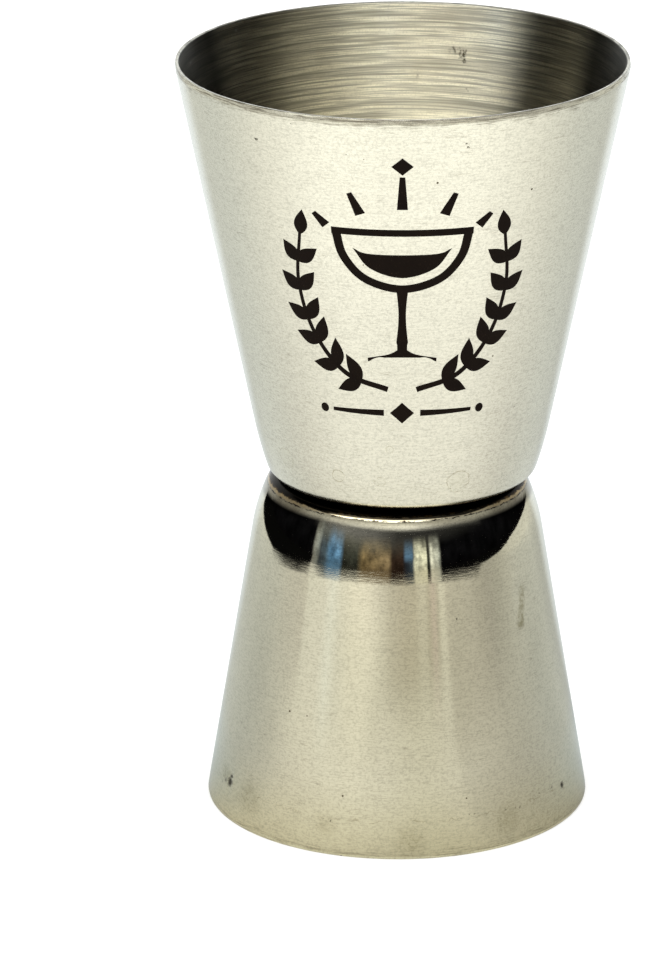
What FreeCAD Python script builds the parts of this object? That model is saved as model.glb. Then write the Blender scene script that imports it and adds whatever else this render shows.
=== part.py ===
import FreeCAD, Part
import Sketcher
import math
import os

# Double-ended bar jigger.  Two drawn stainless cups stand back to back and are
# held together by three resistance spot welds through their base discs.
# Millimetres, +Z up, origin on the large cup's axis in the plane of the small
# cup's rim, which is the rim the jigger stands on.  The large cup opens upwards.

doc = FreeCAD.newDocument("bar_jigger")

# ---------------------------------------------------------------------------
# Driving dimensions
# ---------------------------------------------------------------------------
DIMS = [
    # alias, value, note
    ("overall_height", 79.0, "rim plane to rim plane"),
    ("sheet", 0.45, "wall and base thickness of both drawn cups"),
    ("joint_height", 35.455, "mid plane between the two base discs"),
    ("joint_gap", 0.14, "gap left between the base discs by the weld flash"),
    ("axis_offset", 0.47, "small cup's axis is this far to -X of the large cup's"),
    # large cup, about 45 ml to the brim
    ("large_rim_dia", 45.9, "widest diameter, at the foot of the rim bevel"),
    ("large_half_angle", 11.73, "wall angle from the axis, degrees"),
    ("large_blend_rad", 41.0, "slow curve at the foot of the wall"),
    ("large_corner_rad", 1.3, "outside corner radius at the base disc"),
    ("large_corner_rise", 0.896, "height of the corner arc above the base"),
    ("large_bevel_rise", 0.45, "height of the dressed bevel under the rim"),
    ("large_bevel_in", 0.075, "how far that bevel leans in"),
    # small cup, about 30 ml to the brim
    ("small_rim_dia", 39.62, "widest diameter, at the foot of the rim bevel"),
    ("small_half_angle", 9.485, "wall angle from the axis, degrees"),
    ("small_blend_rad", 19.7, "slow curve at the shoulder"),
    ("small_corner_rad", 2.06, "outside corner radius at the base disc"),
    ("small_corner_rise", 1.216, "height of the corner arc below the base"),
    ("small_bevel_rise", 0.25, "height of the dressed bevel at the rim"),
    ("small_bevel_in", 0.06, "how far that bevel leans in"),
    # rims and welds
    ("rim_break", 0.08, "inside edge break at each rim"),
    ("weld_circle_rad", 5.6, "spot weld centres from the weld pattern's centre"),
    ("weld_dia", 3.6, "weld nugget diameter"),
    ("weld_bite", 0.2, "how deep a nugget reaches into each sheet"),
    ("flash_dia", 4.2, "diameter of the metal squeezed out between the sheets"),
    ("tip_mark_dia", 5.0, "electrode tip mark on each cup's floor"),
    ("tip_mark_depth", 0.06, "depth of that mark"),
]
WELD_ANGLES = (90.0, 210.0, 330.0)       # degrees from +X round the weld pattern's centre

table = doc.addObject("Spreadsheet::Sheet", "Dims")
for row, (alias, value, note) in enumerate(DIMS, start=1):
    table.set("A%d" % row, alias)
    table.set("B%d" % row, str(value))
    table.set("C%d" % row, note)
    table.setAlias("B%d" % row, alias)
doc.recompute()
D = {alias: value for alias, value, note in DIMS}

V = FreeCAD.Vector
Z_AXIS = V(0, 0, 1)
ORIGIN = (-1, 1)                         # a sketch's origin, as (geometry, point)
X_AXIS_LINE, Y_AXIS_LINE = -1, -2        # a sketch's own axes
CENTRE = 3                               # point number of a circle's or arc's centre


def ref(alias):
    """Expression that reads one driving dimension."""
    return "<<Dims>>." + alias


# ---------------------------------------------------------------------------
# Sketch helpers
# ---------------------------------------------------------------------------
def new_sketch(body, name, plane_role):
    """Sketch on one of the body's origin planes."""
    plane = next(f for f in body.Origin.OriginFeatures if f.Role == plane_role)
    sketch = body.newObject("Sketcher::SketchObject", name)
    sketch.AttachmentSupport = [(plane, "")]
    sketch.MapMode = "FlatFace"
    return sketch


def constrain(sketch, *args):
    return sketch.addConstraint(Sketcher.Constraint(*args))


def bind(sketch, name, expression, *args):
    """Add a named constraint driven by an expression."""
    index = constrain(sketch, *args)
    sketch.renameConstraint(index, name)
    sketch.setExpression("Constraints." + name, expression)


# ---------------------------------------------------------------------------
# Cup section
# ---------------------------------------------------------------------------
def cup_outline(which, height):
    """Closed half section of one cup, as edges in order.

    Points are (distance from the axis, distance from the base towards the rim).
    """
    half_angle = math.radians(D[which + "_half_angle"])
    blend_rad = D[which + "_blend_rad"]
    corner_rad = D[which + "_corner_rad"]
    thick = D["sheet"]
    rim_break = D["rim_break"]

    # outward normals of the base disc, of the wall, and where corner meets blend
    down = V(0, -1)
    wall = V(math.cos(half_angle), -math.sin(half_angle))
    meet_angle = math.asin(1.0 - D[which + "_corner_rise"] / corner_rad)
    meet = V(math.cos(meet_angle), -math.sin(meet_angle))

    # Start with the corner's centre on the axis, then slide both arcs outwards
    # until the blend's tangent point lies on the wall line.
    bevel_foot = V(D[which + "_rim_dia"] / 2.0, height - D[which + "_bevel_rise"])
    corner = V(0, corner_rad)
    blend = corner - meet * (blend_rad - corner_rad)
    slide = (bevel_foot - blend - wall * blend_rad).dot(wall) / wall.x
    corner += V(slide, 0)
    blend += V(slide, 0)

    corner_in, blend_in = corner_rad - thick, blend_rad - thick
    # inner wall line's distance from the axis at the rim plane
    mouth = (bevel_foot.x - thick / math.cos(half_angle)
             + D[which + "_bevel_rise"] * math.tan(half_angle))
    return [
        # edge, start point, arc (centre, radius), joint with the next edge
        ("floor_out", V(0, 0), None, "Tangent"),
        ("corner_out", corner + down * corner_rad, (corner, corner_rad), "Tangent"),
        ("blend_out", corner + meet * corner_rad, (blend, blend_rad), "Tangent"),
        ("wall_out", blend + wall * blend_rad, None, "Coincident"),
        ("bevel", bevel_foot, None, "Coincident"),
        ("land", V(bevel_foot.x - D[which + "_bevel_in"], height), None, "Coincident"),
        ("break", V(mouth + rim_break, height), None, "Coincident"),
        ("wall_in", V(mouth - rim_break * math.tan(half_angle), height - rim_break),
         None, "Tangent"),
        ("blend_in", blend + wall * blend_in, (blend, blend_in), "Tangent"),
        ("corner_in", corner + meet * corner_in, (corner, corner_in), "Tangent"),
        ("floor_in", corner + down * corner_in, None, "Coincident"),
        ("axis", V(0, thick), None, "Coincident"),
    ]


def short_arc(centre, radius, start, finish):
    """Arc taken the short way, and whether it runs from start to finish."""
    from_angle = math.atan2(start.y - centre.y, start.x - centre.x)
    to_angle = math.atan2(finish.y - centre.y, finish.x - centre.x)
    turn = (to_angle - from_angle + math.pi) % (2 * math.pi) - math.pi
    if turn < 0:
        from_angle, to_angle = to_angle, from_angle
    circle = Part.Circle(centre, Z_AXIS, radius)
    return Part.ArcOfCircle(circle, from_angle, to_angle), turn > 0


def cup_sketch(body, which, up):
    """Half section of one cup; up is +1 with the rim above the base, -1 below it."""
    sketch = new_sketch(body, which + "_section", "XZ_Plane")
    doc.recompute()

    base = D["joint_height"] + up * D["joint_gap"] / 2.0
    rim = D["overall_height"] if up > 0 else 0.0
    outline = cup_outline(which, abs(rim - base))

    def place(point):
        return V(point.x, base + up * point.y, 0)

    edge, start, end = {}, {}, {}        # by edge name; start and end are (geometry, point)
    following = outline[1:] + outline[:1]
    for (name, first, arc, joint), after in zip(outline, following):
        first, last = place(first), place(after[1])
        if arc:
            curve, forward = short_arc(place(arc[0]), arc[1], first, last)
        else:
            curve, forward = Part.LineSegment(first, last), True
        index = sketch.addGeometry(curve, False)
        edge[name] = index
        start[name] = (index, 1 if forward else 2)
        end[name] = (index, 2 if forward else 1)

    for (name, first, arc, joint), after in zip(outline, following):
        constrain(sketch, joint, *end[name], *start[after[0]])
    constrain(sketch, "PointOnObject", *start["floor_out"], Y_AXIS_LINE)
    constrain(sketch, "PointOnObject", *end["floor_in"], Y_AXIS_LINE)
    for name in ("floor_out", "floor_in", "land"):
        constrain(sketch, "Horizontal", edge[name])
    for name in ("corner", "blend"):     # inner and outer arcs share a centre
        constrain(sketch, "Coincident", edge[name + "_out"], CENTRE, edge[name + "_in"], CENTRE)

    def bind_rise(name, alias, near_base, near_rim):
        low, high = (near_base, near_rim) if up > 0 else (near_rim, near_base)
        bind(sketch, name, ref(alias), "DistanceY", *low, *high, D[alias])

    side = " + " if up > 0 else " - "
    bind(sketch, "base_z", ref("joint_height") + side + ref("joint_gap") + " / 2",
         "DistanceY", *ORIGIN, *start["floor_out"], base)
    if up > 0:
        bind(sketch, "rim_z", ref("overall_height"), "DistanceY", *ORIGIN, *start["land"], rim)
    else:
        constrain(sketch, "PointOnObject", *start["land"], X_AXIS_LINE)
    bind_rise("bevel_rise", which + "_bevel_rise", start["bevel"], end["bevel"])
    bind_rise("corner_rise", which + "_corner_rise", end["floor_out"], end["corner_out"])
    bind_rise("floor_sheet", "sheet", end["axis"], start["axis"])
    bind_rise("break_h", "rim_break", end["break"], start["break"])

    rim_dia, bevel_in = which + "_rim_dia", which + "_bevel_in"
    bind(sketch, "rim_rad", ref(rim_dia) + " / 2",
         "DistanceX", *ORIGIN, *start["bevel"], D[rim_dia] / 2.0)
    bind(sketch, "bevel_in", ref(bevel_in),
         "DistanceX", *end["bevel"], *start["bevel"], D[bevel_in])
    for name in ("corner", "blend"):
        alias = "%s_%s_rad" % (which, name)
        bind(sketch, name + "_rad", ref(alias), "Radius", edge[name + "_out"], D[alias])

    half_angle = math.radians(D[which + "_half_angle"])
    angle_expr = ref(which + "_half_angle") + " * 1 deg"
    bind(sketch, "break_w", "%s + %s * tan(%s)" % (ref("rim_break"), ref("rim_break"), angle_expr),
         "DistanceX", *end["break"], *start["break"],
         D["rim_break"] * (1 + math.tan(half_angle)))
    constrain(sketch, "Parallel", edge["wall_out"], edge["wall_in"])
    bind(sketch, "wall_lean", ("90 deg - " if up > 0 else "-90 deg + ") + angle_expr,
         "Angle", edge["wall_out"], up * (math.pi / 2 - half_angle))
    doc.recompute()
    return sketch


# ---------------------------------------------------------------------------
# Weld pattern, centred half way between the two cups' axes
# ---------------------------------------------------------------------------
def weld_centre(angle, shift_expr):
    """Expressions for one weld's x and y, with the pattern's centre at shift_expr."""
    radius = ref("weld_circle_rad")
    return ("%s + %s * cos(%g deg)" % (shift_expr, radius, angle),
            "%s * sin(%g deg)" % (radius, angle))


def spot_circles(body, name, z_expr, dia_alias, up):
    """Three weld circles on a plane square to the axis, in the cup's own frame."""
    sketch = new_sketch(body, name, "XY_Plane")
    sketch.setExpression("AttachmentOffset.Base.z", z_expr)
    doc.recompute()
    shift = -up * D["axis_offset"] / 2.0
    shift_expr = ("-" if up > 0 else "") + ref("axis_offset") + " / 2"
    for i, angle in enumerate(WELD_ANGLES):
        x = shift + D["weld_circle_rad"] * math.cos(math.radians(angle))
        y = D["weld_circle_rad"] * math.sin(math.radians(angle))
        circle = Part.Circle(V(x, y, 0), Z_AXIS, D[dia_alias] / 2.0)
        index = sketch.addGeometry(circle, False)
        bind(sketch, "dia_%d" % i, ref(dia_alias), "Diameter", index, D[dia_alias])
        x_expr, y_expr = weld_centre(angle, shift_expr)
        for axis, place, expression in (("X", x, x_expr), ("Y", y, y_expr)):
            points = (ORIGIN, (index, CENTRE))
            if place < 0:                # distances stay positive, so swap the points
                points = points[::-1]
                expression = "-(%s)" % expression
            bind(sketch, "c%s_%d" % (axis.lower(), i), expression,
                 "Distance" + axis, *points[0], *points[1], abs(place))
    doc.recompute()
    return sketch


def cut(body, name, circles, depth_alias, upwards):
    """Pocket the circles upwards or downwards into the cup's base disc."""
    before = body.Shape.Volume
    pocket = body.newObject("PartDesign::Pocket", name)
    pocket.Profile = circles
    pocket.setExpression("Length", ref(depth_alias))
    pocket.Reversed = upwards
    doc.recompute()
    if pocket.Shape.Volume >= before - 1e-6:
        raise RuntimeError(name + " removed nothing")
    return pocket


def cup(which, up):
    body = doc.addObject("PartDesign::Body", which + "_cup")
    body.Label = which + "_cup"
    section = cup_sketch(body, which, up)
    shell = body.newObject("PartDesign::Revolution", which + "_drawn_shell")
    shell.Profile = section
    shell.ReferenceAxis = (section, ["V_Axis"])
    shell.Angle = 360.0
    section.Visibility = False
    doc.recompute()

    side = " + " if up > 0 else " - "
    base_expr = ref("joint_height") + side + ref("joint_gap") + " / 2"
    floor_expr = base_expr + side + ref("sheet")
    # nugget seats run into the sheet, away from the joint
    seats = spot_circles(body, which + "_nugget_circles", base_expr, "weld_dia", up)
    cut(body, which + "_nugget_seats", seats, "weld_bite", up > 0)
    # tip marks run from the cup's floor towards the joint
    marks = spot_circles(body, which + "_tip_circles", floor_expr, "tip_mark_dia", up)
    body.Tip = cut(body, which + "_tip_marks", marks, "tip_mark_depth", up < 0)
    doc.recompute()
    return body


# ---------------------------------------------------------------------------
# Spot welds: a nugget biting into both sheets, with a thin collar of flash
# squeezed out between them, at three places round the joint.
# ---------------------------------------------------------------------------
def weld_cylinder(name, dia_alias, height_expr, centre, z_expr):
    cylinder = doc.addObject("Part::Cylinder", name)
    cylinder.setExpression("Radius", ref(dia_alias) + " / 2")
    cylinder.setExpression("Height", height_expr)
    for axis, expression in zip("xyz", (*centre, z_expr)):
        cylinder.setExpression("Placement.Base." + axis, expression)
    return cylinder


def spot_welds():
    gap, bite = ref("joint_gap"), ref("weld_bite")
    gap_bottom = ref("joint_height") + " - " + gap + " / 2"
    welds = []
    for i, angle in enumerate(WELD_ANGLES, start=1):
        centre = weld_centre(angle, "-" + ref("axis_offset") + " / 2")
        core = weld_cylinder("nugget_core_%d" % i, "weld_dia", gap + " + 2 * " + bite,
                             centre, gap_bottom + " - " + bite)
        flash = weld_cylinder("nugget_flash_%d" % i, "flash_dia", gap, centre, gap_bottom)
        doc.recompute()
        weld = doc.addObject("Part::Fuse", "nugget_%d" % i)
        weld.Base = core
        weld.Tool = flash
        weld.Refine = False
        welds.append(weld)
    doc.recompute()
    spots = doc.addObject("Part::Compound", "spot_welds")
    spots.Label = "spot_welds"
    spots.Links = welds
    doc.recompute()
    return spots


large = cup("large", +1)
small = cup("small", -1)
small.setExpression("Placement.Base.x", "-" + ref("axis_offset"))
doc.recompute()
spots = spot_welds()

# ---------------------------------------------------------------------------
# Document state, then one STEP file per piece
# ---------------------------------------------------------------------------
for obj in doc.Objects:
    if "Invalid" in obj.State or "Error" in obj.State:
        raise RuntimeError("%s is %s" % (obj.Name, obj.State))
    if obj.TypeId == "Sketcher::SketchObject":
        if obj.solve() != 0:
            raise RuntimeError("sketch %s does not solve" % obj.Name)
        if not obj.FullyConstrained:
            raise RuntimeError("sketch %s is not fully constrained" % obj.Name)

os.makedirs("parts", exist_ok=True)
for part in (large, small, spots):
    shape = part.Shape
    if shape.isNull() or not shape.isValid() or shape.Volume <= 0:
        raise RuntimeError(part.Label + " has a bad shape")
    shape.exportStep("parts/%s.step" % part.Label)
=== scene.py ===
import math

import bpy
import numpy as np
from mathutils import Matrix, Vector, geometry


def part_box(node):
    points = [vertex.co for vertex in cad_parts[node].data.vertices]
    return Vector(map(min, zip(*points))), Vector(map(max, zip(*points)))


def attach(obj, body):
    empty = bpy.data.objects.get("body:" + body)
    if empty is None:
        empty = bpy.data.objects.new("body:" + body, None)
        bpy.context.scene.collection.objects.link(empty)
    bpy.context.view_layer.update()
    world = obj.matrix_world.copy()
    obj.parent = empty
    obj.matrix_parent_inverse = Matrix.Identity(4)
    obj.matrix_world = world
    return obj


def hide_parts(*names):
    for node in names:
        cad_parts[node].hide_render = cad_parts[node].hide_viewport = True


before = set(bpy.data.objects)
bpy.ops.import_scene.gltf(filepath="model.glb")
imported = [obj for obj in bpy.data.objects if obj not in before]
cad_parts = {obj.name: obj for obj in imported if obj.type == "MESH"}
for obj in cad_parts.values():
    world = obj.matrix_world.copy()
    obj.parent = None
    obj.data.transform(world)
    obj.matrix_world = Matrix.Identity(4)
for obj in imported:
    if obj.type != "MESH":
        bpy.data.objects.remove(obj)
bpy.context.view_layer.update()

MM = 0.001
SEG = 512                                  # columns round each cup

# ---------------------------------------------------------------------------
# Sizes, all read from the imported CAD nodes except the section's inner numbers,
# which are the ones the CAD section is drawn with (millimetres, degrees).
# ---------------------------------------------------------------------------
CUPS = {
    "large": dict(node="large_cup", up=1, half_angle=11.73, blend=41.0, corner=1.3,
                  rise=0.896, bevel_rise=0.45, bevel_in=0.075),
    "small": dict(node="small_cup", up=-1, half_angle=9.485, blend=19.7, corner=2.06,
                  rise=1.216, bevel_rise=0.25, bevel_in=0.06),
}
SHEET, RIM_BREAK = 0.45, 0.08
WELD_RING, TIP_RAD, TIP_DEPTH = 5.6, 2.5, 0.06
WELD_ANGLES = (90.0, 210.0, 330.0)

for c in CUPS.values():
    lo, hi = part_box(c["node"])
    c["axis"] = ((lo.x + hi.x) / 2 / MM, (lo.y + hi.y) / 2 / MM)
    c["rad"] = max(hi.x - lo.x, hi.y - lo.y) / 2 / MM
    c["base"] = (lo.z if c["up"] > 0 else hi.z) / MM
    c["rim"] = (hi.z if c["up"] > 0 else lo.z) / MM
large_c, small_c = CUPS["large"], CUPS["small"]
large_c["axis"] = (0.0, 0.0)
small_c["axis"] = (round(small_c["axis"][0], 2), 0.0)
WELD_MID = ((large_c["axis"][0] + small_c["axis"][0]) / 2, 0.0)


# ---------------------------------------------------------------------------
# Node graphs
# ---------------------------------------------------------------------------
class Graph:
    """Small helper for building node trees: every call gives a socket back."""

    def __init__(self, tree):
        self.tree = tree
        tree.nodes.clear()
        self.count = 0

    def node(self, kind, **props):
        n = self.tree.nodes.new(kind)
        for key, value in props.items():
            setattr(n, key, value)
        self.count += 1
        n.location = (180 * (self.count % 24), -180 * (self.count // 24))
        return n

    def feed(self, socket, value):
        if isinstance(value, bpy.types.NodeSocket):
            self.tree.links.new(value, socket)
        else:
            if socket.type == "RGBA" and len(value) == 3:
                value = (*value, 1.0)
            socket.default_value = value

    def math(self, op, a, b=0.0, c=0.0, clamp=False):
        n = self.node("ShaderNodeMath", operation=op, use_clamp=clamp)
        for i, v in enumerate((a, b, c)):
            self.feed(n.inputs[i], v)
        return n.outputs[0]

    def add(self, a, b): return self.math("ADD", a, b)
    def sub(self, a, b): return self.math("SUBTRACT", a, b)
    def mul(self, a, b): return self.math("MULTIPLY", a, b)
    def most(self, a, b): return self.math("MAXIMUM", a, b)
    def least(self, a, b): return self.math("MINIMUM", a, b)

    def total(self, *terms):
        s = terms[0]
        for t in terms[1:]:
            s = self.add(s, t)
        return s

    def product(self, *terms):
        s = terms[0]
        for t in terms[1:]:
            s = self.mul(s, t)
        return s

    def step(self, x, lo, hi, a=0.0, b=1.0):
        """Smooth step of x from lo to hi, giving a to b."""
        n = self.node("ShaderNodeMapRange", interpolation_type="SMOOTHSTEP", clamp=True)
        flip = lo > hi
        if flip:
            lo, hi, a, b = hi, lo, b, a
        for i, v in enumerate((x, lo, hi, a, b)):
            self.feed(n.inputs[i], v)
        return n.outputs[0]

    def vec(self, op, a, b=None, scale=None):
        n = self.node("ShaderNodeVectorMath", operation=op)
        self.feed(n.inputs[0], a)
        if b is not None:
            self.feed(n.inputs[1], b)
        if scale is not None:
            self.feed(n.inputs["Scale"], scale)
        return n.outputs["Value"] if op in ("LENGTH", "DISTANCE", "DOT_PRODUCT") else n.outputs["Vector"]

    def xyz(self, v):
        n = self.node("ShaderNodeSeparateXYZ")
        self.feed(n.inputs[0], v)
        return n.outputs[0], n.outputs[1], n.outputs[2]

    def join(self, x, y, z):
        n = self.node("ShaderNodeCombineXYZ")
        for i, v in enumerate((x, y, z)):
            self.feed(n.inputs[i], v)
        return n.outputs[0]

    def noise(self, v, scale=1.0, detail=2.0, rough=0.5, bend=0.0):
        n = self.node("ShaderNodeTexNoise")
        self.feed(n.inputs["Vector"], v)
        n.inputs["Scale"].default_value = scale
        n.inputs["Detail"].default_value = detail
        n.inputs["Roughness"].default_value = rough
        n.inputs["Distortion"].default_value = bend
        return n.outputs[0]

    def cells(self, v, scale=1.0, feature="F1", spread=1.0):
        n = self.node("ShaderNodeTexVoronoi", feature=feature)
        self.feed(n.inputs["Vector"], v)
        n.inputs["Scale"].default_value = scale
        n.inputs["Randomness"].default_value = spread
        return n.outputs["Distance"], n.outputs["Color"]

    def mix(self, fac, a, b, kind="MIX"):
        n = self.node("ShaderNodeMix", data_type="RGBA", blend_type=kind, clamp_factor=True)
        self.feed(n.inputs[0], fac)
        self.feed(n.inputs[6], a)
        self.feed(n.inputs[7], b)
        return n.outputs[2]

    def ramp(self, x, lo, hi, stops, kind="LINEAR"):
        """Colours along x: stops are (x, (r, g, b))."""
        n = self.node("ShaderNodeValToRGB")
        self.feed(n.inputs[0], self.math("DIVIDE", self.sub(x, lo), hi - lo))
        r = n.color_ramp
        r.interpolation = kind
        while len(r.elements) < len(stops):
            r.elements.new(0.5)
        for e, (at, colour) in zip(r.elements, stops):
            e.position = (at - lo) / (hi - lo)
            if not isinstance(colour, tuple):
                colour = (colour, colour, colour)
            e.color = (*colour, 1.0)
        return n.outputs[0]

    def grey(self, colour):
        n = self.node("ShaderNodeSeparateColor")
        self.feed(n.inputs[0], colour)
        return n.outputs[0]


def material(name):
    m = bpy.data.materials.new(name)
    m.use_nodes = True
    return m, Graph(m.node_tree)


def surface(g, **inputs):
    """A Principled surface with these inputs, wired to the output."""
    p = g.node("ShaderNodeBsdfPrincipled")
    for key, value in inputs.items():
        g.feed(p.inputs[key.replace("_", " ")], value)
    out = g.node("ShaderNodeOutputMaterial")
    g.tree.links.new(p.outputs[0], out.inputs["Surface"])
    return p


def bump(g, height, distance, strength=1.0, under=None):
    n = g.node("ShaderNodeBump")
    n.inputs["Strength"].default_value = strength
    n.inputs["Distance"].default_value = distance
    g.feed(n.inputs["Height"], height)
    if under is not None:
        g.feed(n.inputs["Normal"], under)
    return n.outputs[0]


def place(g, axis):
    """Position on the piece in millimetres from its own axis: vector, x, y, z."""
    pos = g.node("ShaderNodeNewGeometry").outputs["Position"]
    mm = g.vec("SCALE", pos, scale=1000.0)
    mm = g.vec("SUBTRACT", mm, (axis[0], axis[1], 0.0))
    x, y, z = g.xyz(mm)
    return mm, x, y, z


def round_axis(g, x, y):
    """Unit vector round the axis, the way the steel is brushed."""
    return g.vec("NORMALIZE", g.join(g.mul(y, -1.0), x, 0.0))


def brushed(g, x, y, z, along, across, detail=2.0, shift=0.0, rough=0.55):
    """Noise drawn out round the axis: along and across are lengths in mm."""
    v = g.join(g.mul(x, 1.0 / along), g.mul(y, 1.0 / along), g.add(g.mul(z, 1.0 / across), shift))
    return g.noise(v, 1.0, detail, rough)


# ---------------------------------------------------------------------------
# Cup meshes: a lathe of the CAD section, with the marks of making and use
# ---------------------------------------------------------------------------
def section(c):
    """Rows (r, height above the base disc, zone) from the outside of the base
    disc, up the outside, over the rim, down the inside to the floor's centre."""
    a = math.radians(c["half_angle"])
    r1, r2, rise, t = c["blend"], c["corner"], c["rise"], SHEET
    b = math.asin(1.0 - rise / r2)
    height = abs(c["rim"] - c["base"])
    wx, wh = c["rad"], height - c["bevel_rise"]
    nx, nh, dx, dh = math.cos(a), -math.sin(a), math.cos(b), -math.sin(b)
    bx = -(r1 - r2) * dx + r1 * nx
    bh = r2 - (r1 - r2) * dh + r1 * nh
    cx = -((bx - wx) * nx + (bh - wh) * nh) / nx
    c2, c1 = (cx, r2), (cx - (r1 - r2) * dx, r2 - (r1 - r2) * dh)

    def arc(centre, r, s, e, n):
        """Points on an arc whose outward normal leans down by s to e."""
        return [(centre[0] + r * math.cos(u), centre[1] - r * math.sin(u))
                for u in np.linspace(s, e, n)]

    def line(p, q, n):
        return [(p[0] + (q[0] - p[0]) * u, p[1] + (q[1] - p[1]) * u) for u in np.linspace(0, 1, n)]

    rows = []

    def put(points, zone):
        for p in points:
            if not rows or math.hypot(p[0] - rows[-1][0], p[1] - rows[-1][1]) > 1e-4:
                rows.append((p[0], p[1], zone))

    put(line((0.0, 0.0), (c2[0], 0.0), 6), 0)
    put(arc(c2, r2, math.pi / 2, b, 13), 0)
    put(arc(c1, r1, b, a, 24), 0)
    foot = (c1[0] + r1 * nx, c1[1] + r1 * nh)
    near = (wx - 1.2 * math.tan(a), wh - 1.2)
    put(line(foot, near, 30), 0)
    put(line(near, (wx, wh), 9), 0)
    top = (wx - c["bevel_in"], height)
    edge = 0.035                              # tiny rounding where bevel meets land
    k = (height - edge - wh) / c["bevel_rise"]
    put(line((wx, wh), (wx - c["bevel_in"] * k, height - edge), 9), 1)
    ix = wx - t / math.cos(a) + (height - wh) * math.tan(a)
    for u in np.linspace(0.25, 1.0, 4) * math.pi / 2:
        put([(top[0] - edge * (1 - math.cos(u)), height - edge * (1 - math.sin(u)))], 1)
    put(line((top[0] - edge, height), (ix + RIM_BREAK, height), 4), 2)
    low = (ix - RIM_BREAK * math.tan(a), height - RIM_BREAK)
    put(line((ix + RIM_BREAK, height), low, 4), 2)
    foot_in = (c1[0] + (r1 - t) * nx, c1[1] + (r1 - t) * nh)
    near_in = (low[0] - 0.6 * math.tan(a), low[1] - 0.6)
    put(line(low, near_in, 4), 3)
    put(line(near_in, foot_in, 26), 3)
    put(arc(c1, r1 - t, a, b, 14), 3)
    put(arc(c2, r2 - t, b, math.pi / 2, 9), 3)
    outer = WELD_RING + TIP_RAD + 0.45
    inner = WELD_RING - TIP_RAD - 0.45
    put(line((c2[0], t), (outer, t), 4), 3)
    put(line((outer, t), (inner, t), 36), 3)
    put(line((inner, t), (0.0, t), 5), 3)
    c["flat_rad"] = c2[0]
    c["wall_top"] = (wx, wh)
    return rows


def waves(theta, seed, lobes, size):
    """A smooth closed ripple round the axis, the same on every run."""
    rng = np.random.default_rng(seed)
    out = 0.0 * theta
    for k in lobes:
        out = out + rng.normal() * np.cos(k * theta + rng.uniform(0, 2 * math.pi)) / math.sqrt(len(lobes))
    return out * size


def out_of_round(which, theta, h):
    """How far a wall stands off its true cone at theta and h above the base, in mm.
    It fades out at the base disc and at the rim, so that neither changes size."""
    c = CUPS[which]
    height = abs(c["rim"] - c["base"])
    fade = max(0.0, min(1.0, h / 6.0)) * max(0.0, min(1.0, (height - h) / 3.0))
    u = h / height
    low = waves(theta, 11 + len(which), (2, 3, 4), 0.020)
    high = waves(theta, 12 + len(which), (2, 3, 4), 0.014)
    return fade * (low * (1 - u) + high * u)


def chatter(theta, seed):
    """Ragged height of the dressed bevel's lower edge, in mm."""
    rng = np.random.default_rng(seed)
    n = len(theta)
    raw = rng.normal(size=n)
    fine = np.convolve(np.r_[raw[-3:], raw, raw[:3]], [0.1, 0.2, 0.4, 0.6, 0.4, 0.2, 0.1], "same")[3:-3]
    raw = rng.normal(size=n)
    kernel = np.hanning(25)
    wide = np.convolve(np.r_[raw[-12:], raw, raw[:12]], kernel / np.sqrt((kernel ** 2).sum()), "same")[12:-12]
    return fine * 0.05 + wide * 0.045


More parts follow.
